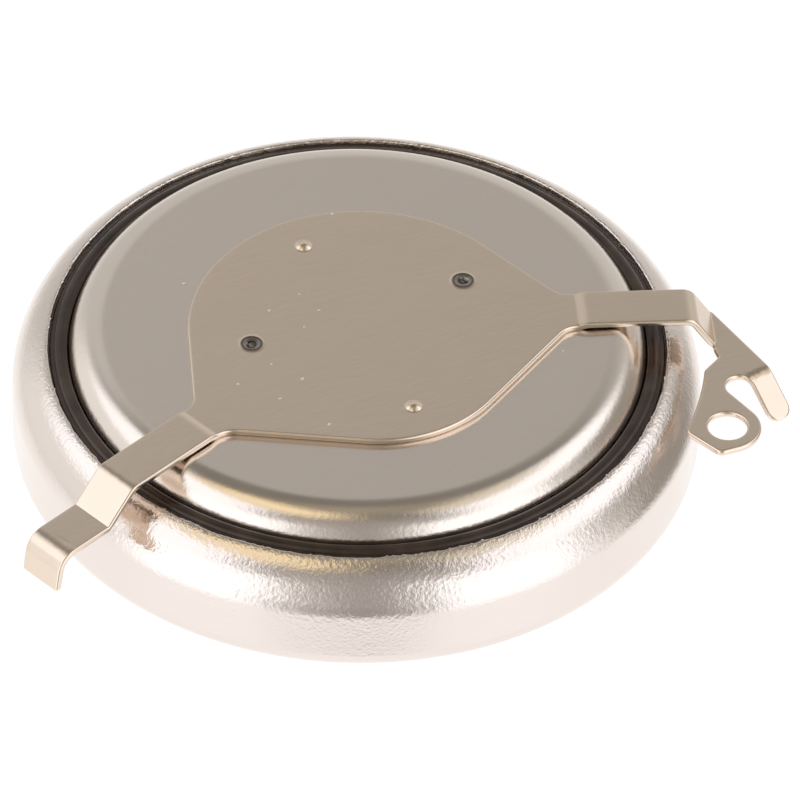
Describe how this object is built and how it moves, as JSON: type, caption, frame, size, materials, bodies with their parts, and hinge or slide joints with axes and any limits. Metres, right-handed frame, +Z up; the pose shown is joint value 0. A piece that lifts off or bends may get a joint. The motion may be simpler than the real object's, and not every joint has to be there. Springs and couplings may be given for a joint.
{
  "type": "tabbed coin cell capacitor",
  "caption": "Flat round coin cell with a rolled steel can, a raised cap in a dark gasket and a welded terminal tab whose arms end in a turned-down foot and a lug with a small eyelet.",
  "frame": {"origin": "On the cell's axis, at the underside of the can that the cell rests on", "axes": "+Z points up out of the cap, along the cell's axis and its shortest extent; +X points right and +Y points up the tab's plate, whose outline is mirrored about the YZ plane; the eyelet lies at +X and -Y"},
  "size_m": [0.0109, 0.0094, 0.0022],
  "materials": {
    "can_metal": "satin nickel-plated steel",
    "cap_metal": "polished nickel-plated steel",
    "tab_metal": "bright rolled steel strip",
    "gasket_plastic": "dark moulded resin",
    "collector_carbon": "conductive carbon layer",
    "electrode_powder": "pressed powder",
    "separator_fibre": "porous white mat"
  },
  "bodies": {
    "root": {"positive_can": "can_metal", "sealing_gasket": "gasket_plastic", "negative_cap": "cap_metal", "terminal_tab": "tab_metal", "positive_collector": "collector_carbon", "positive_electrode": "electrode_powder", "separator": "separator_fibre", "negative_electrode": "electrode_powder", "negative_collector": "collector_carbon"}
  },
  "joints": []
}
